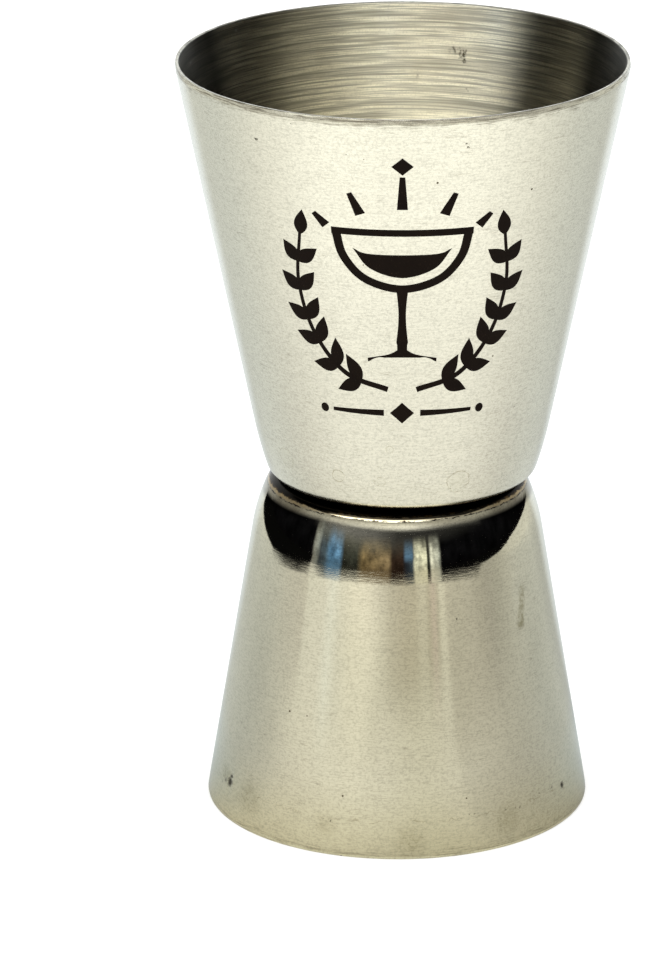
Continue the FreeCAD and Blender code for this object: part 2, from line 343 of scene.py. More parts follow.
def build_cup(which, dings):
    c = CUPS[which]
    rows = section(c)
    up, base = c["up"], c["base"]
    theta = np.arange(SEG) * 2 * math.pi / SEG
    tan_bevel = c["bevel_in"] / c["bevel_rise"]
    rough_edge = chatter(theta, 5 if which == "large" else 6) * (1.0 if which == "large" else 0.45)
    height = abs(c["rim"] - c["base"])
    verts, mats = [], []
    for r, h, zone in rows:
        if r < 1e-6:
            verts.append([[c["axis"][0], c["axis"][1], base + up * h]])
            mats.append(zone)
            continue
        rr = np.full(SEG, r)
        hh = np.full(SEG, h)
        rr += out_of_round(which, theta, h)
        if zone in (0, 1) and h > c["wall_top"][1] - 0.5 and h < height - 0.04:
            # the dressed bevel is a straight cut whose lower edge wanders
            start = c["wall_top"][1] + rough_edge
            wall = c["wall_top"][0] + (h - c["wall_top"][1]) * math.tan(math.radians(c["half_angle"]))
            cut = c["wall_top"][0] + (start - c["wall_top"][1]) * math.tan(math.radians(c["half_angle"])) \
                - (h - start) * tan_bevel
            cut = np.minimum(cut, c["wall_top"][0])
            new = np.minimum(wall, cut)
            blend = min(1.0, (height - 0.04 - h) / 0.12)
            rr = np.minimum(r, r + (new - r) * blend)
        x = c["axis"][0] + rr * np.cos(theta)
        y = c["axis"][1] + rr * np.sin(theta)
        if zone == 3 and abs(h - SHEET) < 1e-3:
            for ang in WELD_ANGLES:
                wx = WELD_MID[0] + WELD_RING * math.cos(math.radians(ang))
                wy = WELD_MID[1] + WELD_RING * math.sin(math.radians(ang))
                d = np.hypot(x - wx, y - wy)
                s = np.clip((TIP_RAD + 0.12 - d) / 0.3, 0, 1)
                hh -= TIP_DEPTH * s * s * (3 - 2 * s)
        z = base + up * hh
        if zone == 0:
            for px, py, pz, size, depth in dings:
                d = np.sqrt((x - px) ** 2 + (y - py) ** 2 + (z - pz) ** 2) / size
                push = depth * np.exp(-d * d * 1.6) - 0.3 * depth * np.exp(-((d - 1.5) / 0.45) ** 2)
                x -= push * np.cos(theta)
                y -= push * np.sin(theta)
        verts.append(np.stack([x, y, z], 1).tolist())
        mats.append(zone)
    flat, first = [], []
    for row in verts:
        first.append(len(flat))
        flat.extend(row)
    faces, slots = [], []
    for i in range(len(verts) - 1):
        a, b = first[i], first[i + 1]
        zone = mats[i + 1]
        slot = {0: 0, 1: 0, 2: 1, 3: 2}[zone]
        if len(verts[i]) == 1:
            new = [(a, b + (j + 1) % SEG, b + j) for j in range(SEG)]
        elif len(verts[i + 1]) == 1:
            new = [(a + j, a + (j + 1) % SEG, b) for j in range(SEG)]
        else:
            new = [(a + j, a + (j + 1) % SEG, b + (j + 1) % SEG, b + j) for j in range(SEG)]
        if up < 0:
            new = [tuple(reversed(f)) for f in new]
        faces += new
        slots += [slot] * len(new)
    mesh = bpy.data.meshes.new(which + "_cup_drawn")
    mesh.from_pydata([(x * MM, y * MM, z * MM) for x, y, z in flat], [], faces)
    mesh.polygons.foreach_set("material_index", slots)
    mesh.polygons.foreach_set("use_smooth", [True] * len(faces))
    mesh.update()
    ob = bpy.data.objects.new(which + "_cup_drawn", mesh)
    bpy.context.scene.collection.objects.link(ob)
    return ob


def on_small(az, h, extra=0.0):
    """Point on the small cup's outside, az degrees round from the front, h mm above its rim."""
    c = small_c
    r = c["rad"] - (h - c["bevel_rise"]) * math.tan(math.radians(c["half_angle"])) + extra
    return (c["axis"][0] + r * math.sin(math.radians(az)), -r * math.cos(math.radians(az)), h)


def on_large(az, h, extra=0.0):
    """Point on the large cup's outside, az degrees round from the front, h mm above the floor."""
    c = large_c
    r = c["rad"] - (c["rim"] - c["bevel_rise"] - h) * math.tan(math.radians(c["half_angle"])) + extra
    return (r * math.sin(math.radians(az)), -r * math.cos(math.radians(az)), h)


def on_bore(az, h):
    """Point on the large cup's inner wall, az degrees round from the front, h mm above the floor."""
    x, y, z = on_large(az, h, -SHEET / math.cos(math.radians(large_c["half_angle"])))
    return (x, y, z)


def scuffs(az, low, high, size, amount):
    """Spots that run together into one short upright scuff on the bore."""
    n = max(2, int((high - low) / (size * 0.8)) + 1)
    return [(on_bore(az + 0.5 * k / (n - 1), low + (high - low) * k / (n - 1)), size, amount) for k in range(n)]


small_dings = [
    (*on_small(-64, 3.8), 0.55, 0.10),
    (*on_small(63, 3.7), 0.40, 0.07),
    (*on_small(54, 25.0), 1.1, 0.035),
    (*on_small(148, 12.0), 1.4, 0.06),
    (*on_small(-150, 6.0), 0.7, 0.08),
]
large_dings = [
    (*on_large(-40, 75.3), 0.5, 0.03),
    (*on_large(17, 75.9), 0.6, 0.025),
    (*on_large(128, 52.0), 1.6, 0.05),
    (*on_large(-132, 69.0), 1.0, 0.05),
]
large = build_cup("large", large_dings)
small = build_cup("small", small_dings)


# ---------------------------------------------------------------------------
# Front mark: a generic cocktail-glass badge, wrapped on the large cup's cone
# ---------------------------------------------------------------------------
MARK_Z = 59.6                              # height of the badge's centre
half = math.radians(large_c["half_angle"])
mark_r = large_c["rad"] - (large_c["rim"] - large_c["bevel_rise"] - MARK_Z) * math.tan(half)


def wrap(u, v, out):
    """Badge point (u across, v up the slant, mm) to the cone; out mm proud of it."""
    z = MARK_Z + v * math.cos(half)
    r = mark_r + v * math.sin(half)
    ang = u / mark_r
    r += float(out_of_round("large", np.array(ang - math.pi / 2), z - large_c["base"]))
    r += out * math.cos(half)
    z -= out * math.sin(half)
    return (r * math.sin(ang) * MM, -r * math.cos(ang) * MM, z * MM)


class Badge:
    """Gathers flat closed shapes and turns each into a thin closed skin."""

    PROUD, SUNK = 0.010, 0.035

    def __init__(self):
        self.verts, self.faces = [], []

    def skin(self, points, tris):
        n, at = len(points), len(self.verts)
        self.verts += [wrap(u, v, self.PROUD) for u, v in points]
        self.verts += [wrap(u, v, -self.SUNK) for u, v in points]
        edges = {}
        for a, b, c in tris:
            (ax, ay), (bx, by), (cx, cy) = points[a], points[b], points[c]
            if (bx - ax) * (cy - ay) - (by - ay) * (cx - ax) < 0:
                b, c = c, b
            self.faces.append((at + a, at + b, at + c))
            self.faces.append((at + n + a, at + n + c, at + n + b))
            for e in ((a, b), (b, c), (c, a)):
                edges[e] = True
        for a, b in edges:
            if (b, a) not in edges:
                self.faces.append((at + b, at + a, at + n + a, at + n + b))

    def area(self, outline, grid=0.55):
        """A filled shape given by its outline, with inner points so that it follows the cone."""
        pts = [Vector(p) for p in outline]
        n = len(pts)
        xs, ys = [p.x for p in pts], [p.y for p in pts]
        extra = []
        x = math.floor(min(xs) / grid) * grid
        while x < max(xs):
            y = math.floor(min(ys) / grid) * grid
            while y < max(ys):
                if inside(outline, x, y) and all(
                        near_edge(outline, x, y) > 0.3 * grid for _ in (0,)):
                    extra.append(Vector((x, y)))
                y += grid
            x += grid
        out = geometry.delaunay_2d_cdt(pts + extra, [], [list(range(n))], 1, 1e-5)
        points = [tuple(v) for v in out[0]]
        tris = []
        for f in out[2]:
            for k in range(1, len(f) - 1):
                tri = (f[0], f[k], f[k + 1])
                mx = sum(points[i][0] for i in tri) / 3
                my = sum(points[i][1] for i in tri) / 3
                if inside(outline, mx, my):
                    tris.append(tri)
        used = sorted({i for t in tris for i in t})
        back = {i: k for k, i in enumerate(used)}
        self.skin([points[i] for i in used], [tuple(back[i] for i in t) for t in tris])

    def stroke(self, path, width, closed=False, step=0.35):
        """A line of the given width (a number, or a function of 0..1) along a path."""
        pts = [Vector(path[0])]
        ring = list(path) + ([path[0]] if closed else [])
        for p in ring[1:]:
            p = Vector(p)
            d = (p - pts[-1]).length
            n = max(1, int(math.ceil(d / step)))
            start = pts[-1].copy()
            for k in range(1, n + 1):
                pts.append(start.lerp(p, k / n))
        if closed:
            pts.pop()
        n = len(pts)
        left, right = [], []
        for i, p in enumerate(pts):
            before = pts[i - 1] if i or closed else p
            after = pts[(i + 1) % n] if i < n - 1 or closed else p
            t1, t2 = p - before, after - p
            if t1.length < 1e-9: t1 = t2
            if t2.length < 1e-9: t2 = t1
            t1, t2 = t1.normalized(), t2.normalized()
            t = (t1 + t2).normalized()
            w = width(i / (n - 1)) if callable(width) else width
            spread = min(1.6, 1.0 / max(0.3, t.dot(t1)))
            nrm = Vector((-t.y, t.x)) * w / 2 * spread
            left.append(tuple(p + nrm))
            right.append(tuple(p - nrm))
        points = left + right
        tris = []
        for i in range(n if closed else n - 1):
            j = (i + 1) % n
            tris += [(i, n + i, n + j), (i, n + j, j)]
        self.skin(points, tris)

    def both(self, draw):
        """Draws a shape and its mirror image."""
        for side in (1, -1):
            draw(side)


def inside(poly, x, y):
    hit = False
    n = len(poly)
    for i in range(n):
        x1, y1 = poly[i]
        x2, y2 = poly[(i + 1) % n]
        if (y1 > y) != (y2 > y) and x < (x2 - x1) * (y - y1) / (y2 - y1) + x1:
            hit = not hit
    return hit


def near_edge(poly, x, y):
    best = 1e9
    n = len(poly)
    for i in range(n):
        x1, y1 = poly[i]
        x2, y2 = poly[(i + 1) % n]
        dx, dy = x2 - x1, y2 - y1
        t = max(0.0, min(1.0, ((x - x1) * dx + (y - y1) * dy) / max(1e-12, dx * dx + dy * dy)))
        best = min(best, math.hypot(x - x1 - t * dx, y - y1 - t * dy))
    return best


def curve(points, n=24):
    """Catmull-Rom through the points."""
    out = []
    p = [Vector(q) for q in points]
    p = [2 * p[0] - p[1]] + p + [2 * p[-1] - p[-2]]
    for i in range(1, len(p) - 2):
        for k in range(n):
            t = k / n
            a, b, c, d = p[i - 1], p[i], p[i + 1], p[i + 2]
            q = 0.5 * ((2 * b) + (c - a) * t + (2 * a - 5 * b + 4 * c - d) * t * t
                       + (3 * b - a - 3 * c + d) * t * t * t)
            out.append((q.x, q.y))
    out.append((p[-2].x, p[-2].y))
    return out


def leaf(x, y, ang, length, wide):
    """Outline of a pointed leaf growing from x, y at ang degrees."""
    out = []
    for t in np.linspace(0, 1, 13):
        out.append((t, wide * math.sin(math.pi * t ** 0.85) * (1 - 0.25 * t)))
    for t in np.linspace(1, 0, 13)[1:-1]:
        out.append((t, -wide * math.sin(math.pi * t ** 0.85) * (1 - 0.25 * t)))
    c, s = math.cos(math.radians(ang)), math.sin(math.radians(ang))
    return [(x + length * (px * c - py / length * s), y + length * (px * s + py / length * c))
            for px, py in out]


def disc(x, y, r, n=20):
    return [(x + r * math.cos(2 * math.pi * k / n), y + r * math.sin(2 * math.pi * k / n)) for k in range(n)]


def build_mark():
    b = Badge()
    # coupe glass: bowl in outline, drink filled, stem and foot
    bowl = [(-6.2, 7.4)] + curve([(-6.2, 7.4), (-5.6, 4.6), (-3.6, 2.2), (0, 1.15), (3.6, 2.2), (5.6, 4.6), (6.2, 7.4)], 10)[1:]
    b.stroke(bowl, 0.86)
    b.stroke([(-6.62, 7.4), (6.62, 7.4)], 0.74)
    drink = curve([(-4.65, 5.55), (-3.1, 3.4), (0, 2.4), (3.1, 3.4), (4.65, 5.55)], 8)
    b.area(drink)
    b.stroke([(0, 1.3), (0, -5.9)], lambda t: 1.25 - 0.5 * math.sin(math.pi * min(1, t * 1.15)) if t < 0.87 else 1.05)
    foot = curve([(-3.7, -6.75), (-1.4, -6.25), (0, -5.6), (1.4, -6.25), (3.7, -6.75)], 8)
    b.area(foot + [(3.7, -7.15), (-3.7, -7.15)])
    # two sprigs rising round the glass
    stem = curve([(1.6, -10.3), (6.4, -8.6), (9.6, -4.4), (10.7, 1.0), (9.9, 6.6)], 12)

    def sprig(side):
        b.stroke([(side * x, y) for x, y in stem], lambda t: 0.62 - 0.3 * t)
        n = len(stem)
        for k, f in enumerate((0.16, 0.3, 0.44, 0.58, 0.72, 0.86)):
            i = int(f * (n - 1))
            (x0, y0), (x1, y1) = stem[i], stem[min(n - 1, i + 2)]
            ang = math.degrees(math.atan2(y1 - y0, x1 - x0))
            for turn, size in ((42, 3.5), (-42, 3.2)):
                shape = leaf(x0, y0, ang + turn, size * (1 - 0.22 * f), 0.84)
                b.area([(side * x, y) for x, y in shape], 0.5)
        x0, y0 = stem[-1]
        b.area([(side * x, y) for x, y in leaf(x0, y0 - 0.2, 100, 2.9, 0.78)], 0.5)
    b.both(sprig)
    # rays over the glass
    for ang, a, c in ((90, 10.0, 13.6), (68, 10.1, 12.6), (112, 10.1, 12.6), (48, 10.6, 12.3), (132, 10.6, 12.3)):
        s, t = math.radians(ang), math.radians(ang)
        b.stroke([(a * math.cos(s), a * math.sin(t)), (c * math.cos(s), c * math.sin(t))],
                 lambda q: 0.98 - 0.5 * q)
    b.area([(0, 15.7), (0.95, 14.75), (0, 13.8), (-0.95, 14.75)], 0.5)
    # rule with a lozenge under it all
    b.both(lambda s: b.stroke([(s * 2.1, -13.0), (s * 8.2, -13.0)], lambda q: 0.70 - 0.3 * q))
    b.area([(0, -11.8), (1.4, -13.0), (0, -14.2), (-1.4, -13.0)], 0.5)
    b.both(lambda s: b.area(disc(s * 9.3, -13.0, 0.5, 16), 0.5))
    mesh = bpy.data.meshes.new("front_mark")
    mesh.from_pydata(b.verts, [], b.faces)
    mesh.update()
    ob = bpy.data.objects.new("front_mark", mesh)
    bpy.context.scene.collection.objects.link(ob)
    return ob


mark = build_mark()


# ---------------------------------------------------------------------------
# Materials
# ---------------------------------------------------------------------------
def spot(g, mm, at, size, soft=0.3):
    """1 inside a blob of this radius (mm) round a point given in mm."""
    d = g.vec("DISTANCE", mm, at)
    return g.step(d, size * (1 + soft), size * (1 - soft))


def ring(g, mm, at, size, width):
    """1 on a thin ring of this radius (mm) round a point."""
    d = g.vec("DISTANCE", mm, at)
    return g.step(g.math("ABSOLUTE", g.sub(d, size)), width, width * 0.25)


def steel_outside(name, c, tint, rough, aniso, rings, blots, shift, groove, rim_wear, film_and_flank_shade, relief, smudges=()):
    """Satin drawn steel. groove is how far (mm) the painted shade in the groove between the cups, and the lines
    beside it, reach from the base disc, rim_wear how strongly the dressed rim is scored."""
    m, g = material(name)
    mm, x, y, z = place(g, c["axis"])
    around = round_axis(g, x, y)
    h = g.mul(g.sub(z, c["base"]), float(c["up"]))        # from the base disc towards the rim
    long_lines = brushed(g, x, y, z, 7.0, 0.17, 3.0, shift)
    short_lines = brushed(g, x, y, z, 1.1, 0.11, 2.0, shift + 7.0)
    dashes = brushed(g, x, y, z, 0.55, 0.13, 1.0, shift + 31.0)
    grain = g.noise(mm, 4.2, 2.0, 0.65)
    cloud = g.noise(mm, 0.16, 2.0, 0.5)
    patch = g.noise(mm, 0.55, 3.0, 0.6)
    # noise that bends the dried rings and blots out of true
    wander = g.noise(mm, 1.2, 2.0, 0.6)
    bent = g.vec("ADD", mm, g.vec("SCALE", g.vec("SUBTRACT", g.join(wander, g.noise(mm, 1.7, 2.0, 0.6), 0.5), (0.5, 0.5, 0.5)), scale=0.9))
    broken = g.step(g.noise(mm, 2.1, 2.0, 0.6), 0.40, 0.56)
    stain, film_and_edge_shade = 0.0, 0.0
    for at, size, width, amount in rings:
        stain = g.most(stain, g.mul(ring(g, bent, at, size, width), amount))
        film_and_edge_shade = g.most(film_and_edge_shade, g.mul(spot(g, bent, at, size * 0.8, 0.35), amount * 0.22))
    stain = g.mul(stain, g.add(0.35, g.mul(broken, 0.65)))
    dark = 0.0
    for at, size, amount in blots:
        at = (at[0] - c["axis"][0], at[1], at[2])
        dark = g.most(dark, g.mul(spot(g, bent, at, size, 0.5), amount))
    olive = 0.0
    for at, size, amount in smudges:
        at = (at[0] - c["axis"][0], at[1], at[2])
        olive = g.most(olive, g.mul(spot(g, bent, at, size, 0.8), amount))
    # stray pits, one small one in a few cells
    dist, colour = g.cells(mm, 0.55)
    rare = g.step(g.grey(colour), 0.84, 0.88)
    speck = g.mul(g.step(dist, 0.075, 0.045), rare)
    # thin short scratches, almost along the brushing
    scr = brushed(g, x, y, z, 9.0, 0.5, 1.0, shift + 20.0)
    scratch = g.mul(g.step(g.math("ABSOLUTE", g.sub(scr, 0.5)), 0.012, 0.004), g.step(patch, 0.50, 0.66))
    # scoring left where the rim was dressed: short lines running up to the edge
    theta = g.math("ARCTAN2", y, x)
    score = g.step(brushed(g, x, y, z, 2.6, 0.10, 2.0, shift + 41.0), 0.46, 0.62)
    top = abs(c["rim"] - c["base"])
    reach = g.noise(g.join(g.mul(theta, c["rad"] * 0.5), 0.0, 9.0 + shift), 1.0, 2.0, 0.6)
    near_rim = g.step(g.math("DIVIDE", g.sub(top, h), g.add(0.35, g.mul(g.mul(reach, reach), 3.4))), 1.0, 0.25)
    worn = g.product(near_rim, score, rim_wear)
    # painted shade in the groove between the cups: black, with some brown soot flecks, then a straw-coloured line,
    # then a broken black hairline
    ragged = g.add(g.mul(g.noise(mm, 1.6, 3.0, 0.6), 0.75), g.mul(dashes, 0.35))
    line = g.add(h, g.mul(g.sub(ragged, 0.55), 0.45))
    groove_shade = g.step(line, groove, groove * 0.86)
    straw = g.mul(g.step(line, groove * 1.32, groove * 1.08), g.add(0.45, g.mul(g.step(ragged, 0.45, 0.7), 0.55)))
    hair = g.math("ABSOLUTE", g.sub(line, groove * 1.26))
    part = g.step(g.noise(g.join(g.mul(theta, c["rad"] * 0.42), 0.0, 21.0 + shift), 1.0, 3.0, 0.6), 0.44, 0.54)
    hair = g.mul(g.step(hair, groove * 0.085, groove * 0.03), part)
    soot = g.step(g.noise(mm, 1.1, 4.0, 0.7), 0.50, 0.62)
    groove_shade_colour = g.mix(g.mul(soot, g.step(h, groove * 0.70, groove * 0.85)), (0.010, 0.008, 0.006), (0.10, 0.06, 0.02))

    base = g.mix(g.mul(cloud, 0.6), tint, tuple(t * 0.93 for t in tint))
    base = g.mix(g.mul(g.step(long_lines, 0.40, 0.72), 0.12), base, tuple(t * 0.60 for t in tint))
    base = g.mix(g.mul(g.step(short_lines, 0.45, 0.72), 0.20), base, tuple(t * 0.62 for t in tint))
    base = g.mix(g.mul(g.step(dashes, 0.48, 0.70), 0.36), base, tuple(t * 0.55 for t in tint))
    base = g.mix(g.mul(g.step(grain, 0.46, 0.68), 0.46), base, tuple(t * 0.58 for t in tint))
    base = g.mix(g.mul(scratch, 0.35), base, (0.22, 0.19, 0.14))
    base = g.mix(g.mul(worn, 0.75), base, (0.14, 0.115, 0.08))
    smoke = g.mul(g.step(h, groove * 2.7, groove * 1.3), g.add(0.45, g.mul(patch, 0.8)))
    base = g.mix(g.mul(smoke, film_and_flank_shade), base, g.mix(1.0, base, (0.86, 0.835, 0.76), "MULTIPLY"))
    # heavier round the flanks, where nobody wiped it off
    # painted shade round the flanks next to the groove: the shoulder made darker to the left and right than in front
    flank = g.step(g.math("ABSOLUTE", g.mul(g.math("ARCTAN2", x, g.mul(y, -1.0)), 180 / math.pi)), 33, 52)
    flank_shade = g.product(g.step(h, groove * 2.9, groove * 2.1), flank, g.add(0.55, g.mul(patch, 0.6)), film_and_flank_shade)
    base = g.mix(flank_shade, base, g.mix(1.0, base, (0.10, 0.08, 0.055), "MULTIPLY"))
    scuff = g.math("ABSOLUTE", g.sub(g.sub(top, h), g.add(3.75, g.mul(g.sub(g.add(wander, reach), 1.0), 1.3))))
    scuff = g.product(g.step(scuff, 0.09, 0.03), g.step(reach, 0.44, 0.58), film_and_flank_shade)
    base = g.mix(g.mul(scuff, 0.5), base, (0.26, 0.22, 0.14))
    base = g.mix(stain, base, (0.34, 0.31, 0.20))
    base = g.mix(film_and_edge_shade, base, (0.52, 0.50, 0.36))
    base = g.mix(g.mul(olive, g.add(0.5, g.mul(broken, 0.5))), base, (0.26, 0.23, 0.13))
    base = g.mix(speck, base, (0.10, 0.08, 0.05))
    base = g.mix(dark, base, (0.03, 0.025, 0.015))
    base = g.mix(g.mul(straw, 0.75), base, (0.50, 0.37, 0.19))
    base = g.mix(hair, base, (0.012, 0.008, 0.005))
    # painted shade: the black band in the groove between the cups
    base = g.mix(groove_shade, base, groove_shade_colour)
    base = g.mix(g.mul(g.step(g.sub(top, h), 9.0, 0.0), film_and_flank_shade), base, g.mix(1.0, base, (1.0, 0.985, 0.86), "MULTIPLY"))
    r = g.total(rough, g.mul(g.sub(cloud, 0.5), 0.05), g.mul(g.sub(long_lines, 0.5), 0.06),
                g.mul(stain, 0.25), g.mul(dark, 0.4), g.mul(speck, 0.3), g.mul(groove_shade, 0.12), g.mul(worn, 0.15))
    height = g.total(g.mul(long_lines, 0.35), g.mul(short_lines, 0.6), g.mul(dashes, 0.9), g.mul(grain, 0.9),
                     g.mul(scratch, -0.5), g.mul(speck, -2.0), g.mul(worn, -1.0), g.mul(g.mul(groove_shade, ragged), 2.0))
    height = g.mul(height, g.step(h, 1.2, 3.0, 0.50, 1.0))     # the drawn corner is more polished
    n = bump(g, height, relief)
    surface(g, Base_Color=base, Metallic=1.0, Roughness=r, Anisotropic=aniso,
            Anisotropic_Rotation=0.25, Tangent=around, Normal=n)
    return m


def steel_inside(name, c, tint, rough, shift, blots=()):
    """The bore: turned lines left by the drawing tools, with painted shade where it is seen nearly edge-on."""
    m, g = material(name)
    mm, x, y, z = place(g, c["axis"])
    around = round_axis(g, x, y)
    wide = brushed(g, x, y, z, 16.0, 0.80, 2.0, shift)
    lines = brushed(g, x, y, z, 11.0, 0.24, 3.0, shift + 9.0)
    fine = brushed(g, x, y, z, 5.0, 0.10, 2.0, shift + 19.0)
    grain = g.noise(mm, 5.0, 2.0, 0.6)
    cloud = g.noise(mm, 0.25, 3.0, 0.6)
    dist, colour = g.cells(mm, 0.42)
    lint = g.mul(g.step(dist, 0.075, 0.045), g.step(g.grey(colour), 0.80, 0.84))
    base = g.mix(g.mul(g.step(wide, 0.44, 0.60), 0.50), tint, tuple(t * 0.40 for t in tint))
    base = g.mix(g.mul(g.step(lines, 0.46, 0.60), 0.60), base, tuple(t * 0.27 for t in tint))
    base = g.mix(g.mul(g.step(fine, 0.48, 0.62), 0.45), base, tuple(t * 0.30 for t in tint))
    base = g.mix(g.mul(g.step(grain, 0.45, 0.68), 0.26), base, tuple(t * 0.5 for t in tint))
    base = g.mix(g.mul(g.step(cloud, 0.5, 0.75), 0.20), base, (0.40, 0.35, 0.23))
    base = g.mix(lint, base, (0.9, 0.9, 0.86))
    hatch = g.step(grain, 0.36, 0.60)
    drift = g.join(g.noise(mm, 1.5, 3.0, 0.6), g.noise(mm, 1.9, 3.0, 0.6), g.noise(mm, 1.1, 3.0, 0.6))
    bent = g.vec("ADD", mm, g.vec("SCALE", g.vec("SUBTRACT", drift, (0.5, 0.5, 0.5)), scale=1.1))
    for at, size, amount in blots:
        mark = g.product(spot(g, bent, at, size, 0.7), g.add(0.35, g.mul(hatch, 0.65)), amount)
        base = g.mix(mark, base, (0.05, 0.04, 0.025))
    # a thin film of polish in the bore takes the light that leaves it nearly edge-on
    # painted shade: the bore's colour darkens where it is seen nearly edge-on, which shades its left and right sides
    geo = g.node("ShaderNodeNewGeometry")
    facing = g.math("ABSOLUTE", g.vec("DOT_PRODUCT", geo.outputs["True Normal"], geo.outputs["Incoming"]))
    film_and_edge_shade = g.step(facing, 0.68, 0.50, 1.0, 0.14)
    base = g.mix(1.0, base, g.join(film_and_edge_shade, film_and_edge_shade, film_and_edge_shade), "MULTIPLY")
    r = g.total(rough, g.mul(g.sub(cloud, 0.5), 0.06), g.mul(g.sub(lines, 0.5), 0.10), g.mul(lint, 0.4))
    metal = g.sub(1.0, g.mul(lint, 0.9))
    height = g.total(g.mul(wide, 2.2), g.mul(lines, 0.8), g.mul(fine, 0.15), g.mul(grain, 0.05))
    n = bump(g, height, 0.000012)
    surface(g, Base_Color=base, Metallic=metal, Roughness=r, Anisotropic=0.93,
            Anisotropic_Rotation=0.25, Tangent=around, Normal=n)
    return m


def steel_rim(name, axis, tint):
    """The dressed edge: fine lines left by the dressing tool, running along the edge."""
    m, g = material(name)
    mm, x, y, z = place(g, axis)
    lines = brushed(g, x, y, z, 2.4, 0.10, 2.0)
    torn = brushed(g, x, y, z, 0.8, 0.16, 2.0, 13.0)
    grain = g.noise(mm, 5.0, 2.0, 0.6)
    base = g.mix(g.mul(g.step(lines, 0.42, 0.62), 0.55), tint, tuple(t * 0.30 for t in tint))
    base = g.mix(g.mul(g.step(torn, 0.50, 0.66), 0.45), base, tuple(t * 0.35 for t in tint))
    r = g.total(0.42, g.mul(g.sub(grain, 0.5), 0.2), g.mul(lines, 0.08))
    n = bump(g, g.total(lines, g.mul(torn, 1.1), g.mul(grain, 0.4)), 0.000016)
    surface(g, Base_Color=base, Metallic=1.0, Roughness=r, Normal=n)
    return m


def weld_metal(name):
    m, g = material(name)
    mm, x, y, z = place(g, (0.0, 0.0))
    heat = g.noise(mm, 1.1, 3.0, 0.6)
    grain = g.noise(mm, 9.0, 3.0, 0.6)
    base = g.mix(g.step(heat, 0.35, 0.65), (0.34, 0.27, 0.17), (0.20, 0.19, 0.20))
    base = g.mix(g.mul(g.step(grain, 0.5, 0.8), 0.5), base, (0.10, 0.08, 0.06))
    r = g.total(0.42, g.mul(g.sub(grain, 0.5), 0.3))
    n = bump(g, g.add(grain, g.mul(heat, 2.0)), 0.00003)
    surface(g, Base_Color=base, Metallic=1.0, Roughness=r, Normal=n)
    return m


def mark_oxide(name):
    m, g = material(name)
    mm, x, y, z = place(g, (0.0, 0.0))
    lines = brushed(g, x, y, z, 1.6, 0.13, 2.0)
    grain = g.noise(mm, 6.0, 3.0, 0.65)
    cloud = g.noise(mm, 0.5, 2.0, 0.5)
    worn = g.product(g.step(g.add(g.mul(grain, 0.7), g.mul(lines, 0.3)), 0.60, 0.70), 0.8)
    base = g.mix(cloud, (0.0030, 0.0013, 0.0006), (0.0064, 0.0032, 0.0014))
    base = g.mix(g.mul(worn, 0.24), base, (0.10, 0.066, 0.034))
    r = g.total(0.48, g.mul(g.sub(grain, 0.5), 0.3))
    n = bump(g, g.add(grain, lines), 0.000004)
    surface(g, Base_Color=base, Metallic=g.mul(worn, 0.3), Roughness=r, Specular_IOR_Level=0.05, Normal=n)
    return m


TINT = (0.72, 0.70, 0.595)
large_out = steel_outside(
    "large_cup_satin", large_c, TINT, 0.20, 0.6,
    rings=[(on_large(-25.9, 39.13), 0.70, 0.09, 0.50), (on_large(22.9, 38.6), 1.22, 0.10, 0.55),
           (on_large(-8.6, 38.95), 0.52, 0.08, 0.30), (on_large(-4.8, 42.7), 0.42, 0.08, 0.30),
           (on_large(-52.0, 39.6), 1.1, 0.09, 0.28)],
    blots=[(on_large(-40, 75.4), 0.13, 0.9), (on_large(16.5, 75.9), 0.12, 0.8), (on_large(16.0, 76.3), 0.09, 0.7),
           (on_large(-28.5, 77.8), 0.12, 0.6), (on_large(44, 46.0), 0.08, 0.6), (on_large(50, 52.0), 0.07, 0.6)],
    shift=0.0, groove=0.30, rim_wear=1.0, film_and_flank_shade=0.0, relief=0.0000045)
small_out = steel_outside(
    "small_cup_satin", small_c, (0.72, 0.69, 0.565), 0.036, 0.55,
    rings=[],
    blots=[(on_small(-64, 3.8), 0.46, 0.95), (on_small(-63.4, 4.5), 0.24, 0.85), (on_small(-67.0, 3.7), 0.22, 0.6),
           (on_small(-70.0, 3.2), 0.16, 0.4), (on_small(62.8, 3.72), 0.33, 0.95), (on_small(56.8, 4.2), 0.15, 0.7),
           (on_small(54.6, 4.2), 0.08, 0.6), (on_small(50.4, 4.22), 0.09, 0.6), (on_small(41.1, 3.62), 0.12, 0.7),
           (on_small(39.2, 3.7), 0.08, 0.6), (on_small(35.2, 3.78), 0.09, 0.55), (on_small(24.6, 4.05), 0.11, 0.6),
           (on_small(23.0, 4.1), 0.08, 0.5), (on_small(-20.7, 3.5), 0.12, 0.6), (on_small(-23.0, 3.6), 0.08, 0.5),
           (on_small(22.2, 24.26), 0.14, 0.85), (on_small(23.2, 24.6), 0.10, 0.7), (on_small(-24.6, 6.5), 0.08, 0.6)],
    smudges=[*[(on_small(55.0 - 0.42 * k, 25.5 - 0.42 * k), 0.36 + 0.02 * k, 0.50 + 0.03 * k) for k in range(9)],
             (on_small(-52.0, 3.4), 1.5, 0.34), (on_small(4.0, 1.9), 1.3, 0.30),
             (on_small(-67.0, 4.2), 0.8, 0.40), (on_small(36.0, 2.9), 1.3, 0.28), (on_small(-22.0, 3.0), 1.0, 0.22)],
    shift=50.0, groove=0.86, rim_wear=0.5, film_and_flank_shade=0.8, relief=0.00000045)
